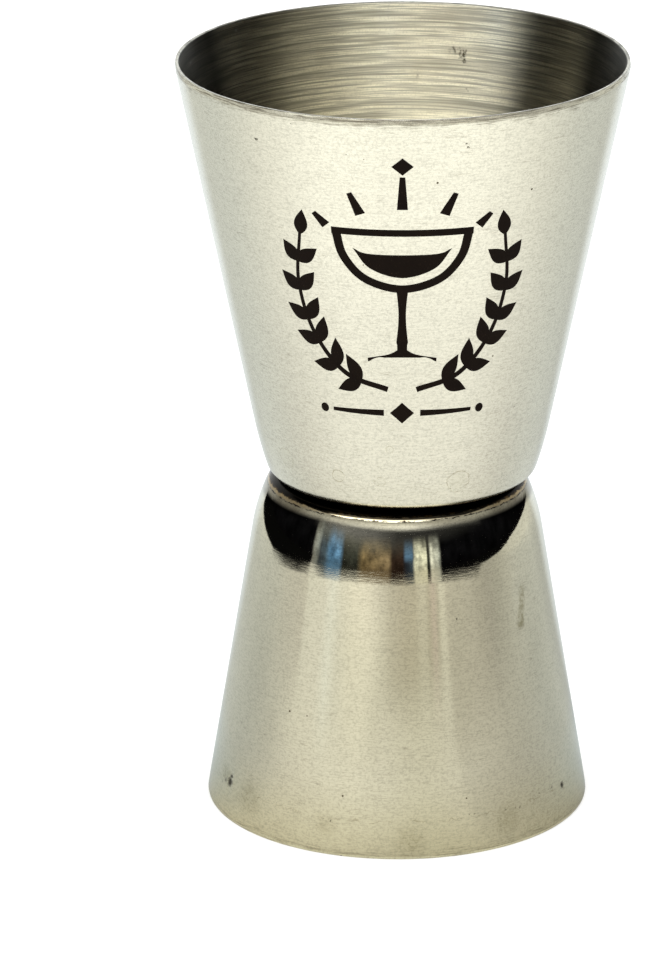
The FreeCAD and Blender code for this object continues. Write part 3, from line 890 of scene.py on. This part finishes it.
large_in = steel_inside("large_cup_bore", large_c, (0.98, 0.94, 0.775), 0.36, 100.0,
                        blots=[*scuffs(162.3, 73.2, 74.4, 0.20, 0.8), *scuffs(163.6, 73.6, 74.5, 0.16, 0.5),
                              *scuffs(165.2, 73.9, 74.4, 0.20, 0.55), (on_bore(166.8, 74.1), 0.22, 0.3),
                              (on_bore(161.0, 70.2), 0.14, 0.6), (on_bore(176.0, 71.6), 0.20, 0.35)])
small_in = steel_inside("small_cup_bore", small_c, (0.98, 0.94, 0.775), 0.36, 150.0)
large_rim = steel_rim("large_rim_edge", large_c["axis"], (0.74, 0.72, 0.64))
small_rim = steel_rim("small_rim_edge", small_c["axis"], (0.74, 0.72, 0.64))
for ob, mats in ((large, (large_out, large_rim, large_in)), (small, (small_out, small_rim, small_in))):
    for m in mats:
        ob.data.materials.append(m)
mark.data.materials.append(mark_oxide("front_mark_oxide"))
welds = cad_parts["spot_welds"]
weld_material = weld_metal("weld_heat_tint")
if not welds.data.materials:
    welds.data.materials.append(weld_material)
for i in range(len(welds.data.materials)):
    welds.data.materials[i] = weld_material

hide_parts("large_cup")
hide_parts("small_cup")
for ob in (large, small, mark):
    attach(ob, "root")


# ---------------------------------------------------------------------------
# Stage: pale floor, soft studio light
# ---------------------------------------------------------------------------
DARK = (0.004, 0.004, 0.005)
DOORWAY = [
    (-80, DARK), (-70.5, DARK), (-68.5, (0.40, 0.42, 0.40)), (-65.5, (0.36, 0.40, 0.40)), (-63, (0.07, 0.09, 0.11)),
    (-58.5, (0.10, 0.15, 0.20)), (-54, (0.15, 0.34, 0.62)), (-46, (0.16, 0.34, 0.60)), (-43, (0.05, 0.055, 0.045)),
    (-32, (0.05, 0.055, 0.045)), (-27, (0.27, 0.20, 0.10)), (-7, (0.32, 0.24, 0.14)), (-4, (0.045, 0.028, 0.02)),
    (4, (0.05, 0.03, 0.022)), (7, (0.04, 0.05, 0.07)), (12, (0.06, 0.09, 0.13)), (14.3, (1.22, 1.24, 1.02)),
    (22.9, (1.30, 1.32, 1.07)), (24, (0.03, 0.035, 0.025)), (25.4, (0.05, 0.055, 0.045)), (26.8, (1.12, 1.15, 1.02)),
    (33, (0.70, 0.74, 0.68)), (35.0, DARK), (45, DARK)]


def from_walls(g):
    """1 where the ray arriving here last left the outside wall of either cup, 0 where it left
    the rounded shoulder, the groove or a bore."""
    geo = g.node("ShaderNodeNewGeometry")
    back = g.vec("SCALE", geo.outputs["Incoming"], scale=g.node("ShaderNodeLightPath").outputs["Ray Length"])
    x, y, z = g.xyz(g.vec("SCALE", g.vec("ADD", geo.outputs["Position"], back), scale=1000.0))
    ix, iy, iz = g.xyz(geo.outputs["Incoming"])
    outward = g.mul(g.add(g.mul(x, ix), g.mul(y, iy)), -1.0)
    wall = g.most(g.step(z, 28.35, 27.95), g.step(z, 33.5, 34.2))
    return g.mul(wall, g.step(outward, 0.0, 0.6))


def build_sweep():
    """A curved glowing card right round the set, low enough to stay out of the shoulder and the
    bores. Its glow is painted light from an emission shader, not a lamp. Only the cups' plain walls pick it up;
    everything else looks past it to the room."""
    n, rad, top = 96, 2.5, 1.7
    mesh = bpy.data.meshes.new("studio_sweep")
    ring = [(rad * math.cos(2 * math.pi * i / n), rad * math.sin(2 * math.pi * i / n)) for i in range(n)]
    verts = [(x, y, 0.0) for x, y in ring] + [(x, y, top) for x, y in ring]
    mesh.from_pydata(verts, [], [(i, (i + 1) % n, n + (i + 1) % n, n + i) for i in range(n)])
    mesh.update()
    ob = bpy.data.objects.new("studio_sweep", mesh)
    bpy.context.scene.collection.objects.link(ob)
    m, g = material("studio_sweep_glow")
    x, y, z = g.xyz(g.node("ShaderNodeNewGeometry").outputs["Position"])
    az = g.mul(g.math("ARCTAN2", x, g.mul(y, -1.0)), 180 / math.pi)
    # painted light: how brightly the card glows, by azimuth, dimmer towards its top
    tone = g.ramp(az, -180, 180, [
        (-180, (0.98, 1.0, 1.0)), (-120, (0.72, 0.72, 0.68)), (-70, (0.80, 0.79, 0.74)), (-30, (0.97, 0.95, 0.88)),
        (0, (0.90, 0.88, 0.81)), (45, (0.80, 0.78, 0.72)), (90, (0.68, 0.68, 0.64)), (130, (0.84, 0.85, 0.83)),
        (180, (0.98, 1.0, 1.0))])
    fall = g.step(z, 1.3, 0.0, 0.62, 1.0)
    tone = g.mix(1.0, tone, g.join(fall, fall, fall), "MULTIPLY")
    glow = g.node("ShaderNodeEmission")
    g.feed(glow.inputs["Color"], tone)
    clear = g.node("ShaderNodeBsdfTransparent")
    blend = g.node("ShaderNodeMixShader")
    g.feed(blend.inputs[0], from_walls(g))
    g.tree.links.new(clear.outputs[0], blend.inputs[1])
    g.tree.links.new(glow.outputs[0], blend.inputs[2])
    out = g.node("ShaderNodeOutputMaterial")
    g.tree.links.new(blend.outputs[0], out.inputs["Surface"])
    mesh.materials.append(m)
    ob.visible_camera = ob.visible_diffuse = ob.visible_shadow = False
    ob.visible_transmission = ob.visible_volume_scatter = False
    return ob


def build_floor():
    mesh = bpy.data.meshes.new("studio_floor")
    s = 6.0
    mesh.from_pydata([(-s, -s, 0), (s, -s, 0), (s, s, 0), (-s, s, 0)], [], [(0, 1, 2, 3)])
    mesh.update()
    ob = bpy.data.objects.new("studio_floor", mesh)
    bpy.context.scene.collection.objects.link(ob)
    m, g = material("studio_floor_paper")
    pos = g.node("ShaderNodeNewGeometry").outputs["Position"]
    x, y, z = g.xyz(g.vec("SCALE", pos, scale=1000.0))
    az = g.mul(g.math("ARCTAN2", x, g.mul(y, -1.0)), 180 / math.pi)
    dist = g.math("SQRT", g.add(g.mul(x, x), g.mul(y, y)))
    turned = g.math("ABSOLUTE", az)
    # what polished metal sees of the floor: white paper out to an edge, then a dark table
    edge = g.grey(g.ramp(az, -180, 180, [
        (-180, 1.0), (-149, 1.0), (-144, 0.12), (-142, 0.083), (-133, 0.081), (-122, 0.074), (-108, 0.062), (-93, 0.074),
        (-80, 0.090), (-72, 0.110), (-69, 0.125), (-58, 0.142), (-48, 0.178), (-39, 0.22), (-30, 0.27), (-20, 0.32),
        (-8, 0.36), (7, 0.37), (16, 0.34), (25, 0.298), (34, 0.248), (44, 0.202), (54, 0.162), (64, 0.133),
        (74, 0.140), (88, 0.185), (96, 0.30), (104, 0.60), (116, 0.60), (129, 0.27), (140, 0.150), (145, 0.16)]))
    edge = g.most(edge, g.step(turned, 146, 148.5))
    edge = g.mul(edge, 3000.0)
    paper = g.step(g.math("DIVIDE", dist, edge), 1.06, 0.94)
    near_side = g.step(turned, 55, 110)
    behind = g.step(turned, 136, 150)
    right = g.step(az, 50, 110)
    # looked at steeply: what the upper cup's wall reflects, with painted shade, darker close to the cups, round the
    # sides and behind
    steep = g.ramp(dist, 0, 200, [
        (20, (0.69, 0.685, 0.63)), (55, (0.75, 0.745, 0.71)), (80, (0.775, 0.775, 0.745)), (105, (0.93, 0.93, 0.90)),
        (130, (0.93, 0.93, 0.88))])
    shade = g.mul(g.step(turned, 30, 100, 1.0, 0.71), g.sub(1.0, g.mul(right, 0.03)))
    shade = g.mul(shade, g.sub(1.0, g.mul(behind, 0.17)))
    steep = g.mix(g.step(turned, 70, 125), steep, (0.76, 0.79, 0.78))
    steep = g.mix(1.0, steep, g.join(shade, shade, shade), "MULTIPLY")
    # looked at along the floor: what the lower cup's wall reflects, with painted shade round the sides, dimmer on the
    # right, and behind
    low = g.ramp(dist, 0, 1200, [
        (30, (0.53, 0.515, 0.46)), (115, (0.58, 0.57, 0.51)), (200, (0.55, 0.54, 0.48)),
        (374, (0.53, 0.52, 0.46)), (700, (0.575, 0.56, 0.50)), (1200, (0.66, 0.635, 0.575))])
    flank = g.ramp(dist, 0, 320, [
        (26, (0.42, 0.46, 0.48)), (45, (0.42, 0.44, 0.43)), (110, (0.405, 0.42, 0.40)), (200, (0.47, 0.48, 0.45)),
        (320, (0.55, 0.55, 0.50))])
    dimmer = g.sub(1.0, g.mul(right, 0.13))
    flank = g.mix(1.0, flank, g.join(dimmer, dimmer, dimmer), "MULTIPLY")
    low = g.mix(near_side, low, flank)
    low = g.mix(behind, low, g.mix(g.step(dist, 40, 190), (0.46, 0.49, 0.50), (0.61, 0.645, 0.66)))
    # light spilling through the doorway lies across the far paper
    spill = g.ramp(az, -110, 110, [
        (-98, (1.0, 1.0, 1.0)), (-88, (0.96, 0.95, 0.95)), (-79, (0.93, 0.92, 0.93)), (-71, (0.89, 0.88, 0.89)),
        (-68, (1.05, 1.06, 1.08)), (-56, (1.05, 1.06, 1.09)), (-49, (1.09, 1.13, 1.19)), (-42, (0.98, 0.99, 1.0)),
        (-33, (1.02, 1.02, 1.01)), (-24, (1.03, 1.03, 1.02)), (-17, (0.97, 0.97, 0.96)), (-11, (0.85, 0.85, 0.83)),
        (-4, (0.72, 0.71, 0.68)), (6, (0.69, 0.67, 0.63)), (13, (0.71, 0.69, 0.65)), (17, (0.80, 0.79, 0.76)),
        (21, (0.80, 0.79, 0.76)), (23, (0.70, 0.68, 0.64)), (27, (0.79, 0.72, 0.72)), (30, (0.75, 0.73, 0.70)),
        (32, (0.96, 0.96, 0.94)), (34.5, (0.96, 0.96, 0.94)), (37, (0.84, 0.83, 0.81)), (47, (0.93, 0.92, 0.90)),
        (55, (0.95, 0.94, 0.93)), (63, (0.88, 0.87, 0.86)), (71, (0.82, 0.81, 0.81)), (79, (0.84, 0.84, 0.83)),
        (88, (0.92, 0.92, 0.91)), (98, (1.0, 1.0, 1.0))])
    centre = g.mul(g.step(az, -18, -8), g.step(az, 40, 33))
    reach = g.add(g.mul(g.sub(1.0, centre), g.step(dist, 90, 260)), g.mul(centre, g.step(dist, 200, 520)))
    low = g.mix(reach, low, g.mix(1.0, low, spill, "MULTIPLY"))
    # painted light and shade: the paper seen along the floor made brighter or darker by azimuth
    tone = g.grey(g.ramp(az, -180, 180, [
        (-120, 1.0), (-98, 0.90), (-79, 0.89), (-70, 0.97), (-55, 1.0), (-40, 1.05), (-25, 1.05), (-14, 1.01), (0, 0.94),
        (12, 0.90), (35, 0.90), (43, 0.78), (60, 0.72), (71, 0.71), (82, 0.77), (90, 0.87), (98, 0.97), (108, 1.04),
        (122, 1.13), (136, 1.0)]))
    low = g.mix(1.0, low, g.join(tone, tone, g.mul(tone, g.step(g.math("ABSOLUTE", g.sub(az, 15)), 30, 0, 1.0, 0.97))), "MULTIPLY")
    slope = g.xyz(g.node("ShaderNodeNewGeometry").outputs["Incoming"])[2]
    lit = g.mix(g.step(slope, 0.34, 0.52), low, steep)
    # beyond the paper: a dark table carrying a dim painted reflection of the doorway
    door = g.mul(g.step(az, -70, -69), g.step(az, 36, 35))
    beyond = g.mix(1.0, g.ramp(az, -80, 45, DOORWAY), (0.40, 0.38, 0.36), "MULTIPLY")
    beyond = g.mix(door, (0.002, 0.002, 0.002), beyond)
    lit = g.mix(g.most(paper, from_walls(g)), beyond, lit)
    path = g.node("ShaderNodeLightPath")
    # seen by way of the groove between the cups: painted light in front, painted shade (black) round the flanks
    gain = g.grey(g.ramp(turned, 0, 180, [(0, 1.0), (34, 1.0), (58, 0.02), (180, 0.02)]))
    gain = g.mul(gain, 1.55)
    twice = g.math("GREATER_THAN", path.outputs["Glossy Depth"], 1.5)
    lit = g.mix(twice, lit, g.mix(1.0, lit, g.join(gain, gain, gain), "MULTIPLY"))
    glossy = path.outputs["Is Glossy Ray"]
    colour = g.mix(glossy, (0.90, 0.90, 0.90), lit)
    surface(g, Base_Color=colour, Roughness=0.9, Specular_IOR_Level=0.0)
    mesh.materials.append(m)
    return ob


def build_world():
    world = bpy.data.worlds.new("studio")
    bpy.context.scene.world = world
    world.use_nodes = True
    g = Graph(world.node_tree)
    x, y, z = g.xyz(g.node("ShaderNodeTexCoord").outputs["Generated"])
    az = g.mul(g.math("ARCTAN2", x, g.mul(y, -1.0)), 180 / math.pi)
    el = g.mul(g.math("ARCSINE", z), 180 / math.pi)
    # the room on the camera's side: dark flags, with a bright doorway and its contents
    room = g.ramp(az, -80, 45, DOORWAY)
    mottle = g.noise(g.join(g.mul(az, 0.13), g.mul(el, 0.10), 0.0), 1.0, 3.0, 0.6)
    mottle = g.step(mottle, 0.25, 0.75, 0.35, 1.65)
    room = g.mix(1.0, room, g.join(mottle, mottle, mottle), "MULTIPLY")
    span = g.mul(g.step(az, -71, -69), g.step(az, 36, 34))
    room = g.mix(1.0, room, g.mix(g.step(el, -1, 7), (0.62, 0.60, 0.58), (1.0, 1.0, 1.0)), "MULTIPLY")
    pane = g.product(g.step(az, 4.5, 7), g.step(az, 13.5, 11.5), g.mul(g.step(el, 4, 9), g.step(el, 21, 16)))
    room = g.mix(pane, room, (0.15, 0.30, 0.52))
    fog = g.mul(g.step(el, 5, 17), span)
    room = g.mix(g.mul(fog, 0.6), room, g.mix(g.step(az, -20, 0), (0.24, 0.24, 0.21), (0.09, 0.09, 0.08)))
    # above the flags: dim walls
    high = g.ramp(az, -180, 180, [
        (-180, 1.10), (-157, 1.05), (-141, 0.40), (-134, 0.03), (-100, 0.012), (-75, 0.012), (-66, 0.13), (-45, 0.25),
        (-20, 0.17), (0, 0.05), (30, 0.035), (60, 0.022), (100, 0.022), (130, 0.05), (141, 0.40), (157, 1.05), (180, 1.10)])
    room = g.mix(g.step(el, 12, 21), room, high)
    # a long softbox over the camera, brightest on the left
    box = g.ramp(az, -90, 90, [(-70, 0.0), (-60, 0.95), (-48, 1.0), (6, 1.0), (20, 0.72), (34, 0.36), (48, 0.16), (62, 0.08), (76, 0.0)])
    level = g.math("SQRT", g.add(g.mul(x, x), g.mul(y, y)))
    ahead = g.sub(g.mul(y, -math.cos(math.radians(5))), g.mul(x, math.sin(math.radians(5))))
    ahead = g.most(g.math("DIVIDE", ahead, level), 0.05)
    rise = g.math("DIVIDE", g.math("DIVIDE", z, level), g.math("POWER", ahead, 0.35))
    box = g.mul(g.grey(box), g.mul(g.step(rise, 0.42, 0.59), g.step(rise, 1.10, 0.82)))
    room = g.mix(box, room, (4.2, 4.2, 4.05))
    roof = g.mul(g.step(el, 44, 60), g.mul(g.step(az, -80, -60), g.step(az, 80, 50)))
    room = g.mix(roof, room, (0.10, 0.10, 0.095))
    # the white sweep behind the object
    back = g.mul(g.step(g.math("ABSOLUTE", az), 137, 146), g.step(el, 62, 40))
    seen = g.mix(back, room, (1.22, 1.27, 1.29))
    path = g.node("ShaderNodeLightPath")
    # light that comes out of a bore after crossing it: bright round the back, dark in front
    deep = g.ramp(az, -180, 180, [
        (-180, 3.2), (-157, 3.4), (-131, 2.9), (-104, 2.8), (-80, 2.8), (-60, 2.3), (-45, 1.6), (-25, 0.62),
        (-5, 0.19), (20, 0.16), (46, 0.17), (52, 0.25), (58, 1.5), (70, 1.9), (95, 2.4), (122, 3.0), (150, 3.4), (180, 3.2)])
    deep = g.mix(1.0, deep, (1.0, 0.965, 0.86), "MULTIPLY")
    deep = g.mix(g.step(el, 12, 20), (0.012, 0.011, 0.008), deep)
    times = path.outputs["Glossy Depth"]
    seen = g.mix(g.math("GREATER_THAN", times, 1.5), seen, deep)
    seen = g.mix(g.math("GREATER_THAN", times, 2.5), seen, (0.05, 0.048, 0.04))
    glossy = path.outputs["Is Glossy Ray"]
    camera = path.outputs["Is Camera Ray"]
    colour = g.mix(glossy, (1.60, 1.60, 1.60), seen)
    colour = g.mix(camera, colour, (1.0, 1.0, 1.0))
    bg = g.node("ShaderNodeBackground")
    g.feed(bg.inputs["Color"], colour)
    out = g.node("ShaderNodeOutputWorld")
    g.tree.links.new(bg.outputs[0], out.inputs["Surface"])
    # the map differs by kind of ray, so it is only ever found by following rays
    world.cycles.sampling_method = "NONE"


def softbox():
    """A long softbox over the camera; polished metal sees the one drawn in the world."""
    light = bpy.data.lights.new("softbox", "AREA")
    light.shape = "RECTANGLE"
    light.size, light.size_y = 1.75, 0.26
    light.energy = 3.4
    light.color = (1.0, 1.0, 0.98)
    ob = bpy.data.objects.new("softbox", light)
    az, el, d = math.radians(-13), math.radians(33), 1.0
    at = Vector((math.sin(az) * math.cos(el), -math.cos(az) * math.cos(el), math.sin(el))) * d
    target = Vector((0, 0, 0.035))
    ob.location = at + target
    ob.rotation_mode = "QUATERNION"
    ob.rotation_quaternion = (target - ob.location).to_track_quat("-Z", "Y")
    ob.visible_glossy = False
    bpy.context.scene.collection.objects.link(ob)


def build_camera():
    """Long lens, 19.4 degrees above the horizon, the object right of the frame's centre."""
    cam = bpy.data.cameras.new("camera")
    cam.sensor_width = 36.0
    focal_px = 5672.6                      # for a picture 960 high
    cam.lens = focal_px / 960 * 36.0
    cam.clip_start, cam.clip_end = 0.05, 20.0
    target = Vector((0.0, 0.0, 0.03404))
    elevation, distance = 0.33830, 0.58560
    ahead = Vector((0.0, math.cos(elevation), -math.sin(elevation)))
    right = Vector((1.0, 0.0, 0.0))
    yaw = math.atan2(74.9, focal_px)
    forward = ahead * math.cos(yaw) - right * math.sin(yaw)
    right = right * math.cos(yaw) + ahead * math.sin(yaw)
    turn = Matrix.Rotation(-0.00194, 3, ahead)
    forward, right = turn @ forward, turn @ right
    up = right.cross(forward)
    ob = bpy.data.objects.new("camera", cam)
    rot = Matrix((right, up, -forward)).transposed().to_4x4()
    ob.matrix_world = Matrix.Translation(target - ahead * distance) @ rot
    bpy.context.scene.collection.objects.link(ob)
    bpy.context.scene.camera = ob


build_floor()
build_sweep()
build_world()
softbox()
build_camera()
scene = bpy.context.scene
scene.view_settings.view_transform = "Standard"
scene.view_settings.look = "None"
scene.cycles.sample_clamp_indirect = 6.0
scene.cycles.denoising_prefilter = "NONE"                # keep the fine grain

bpy.context.view_layer.update()
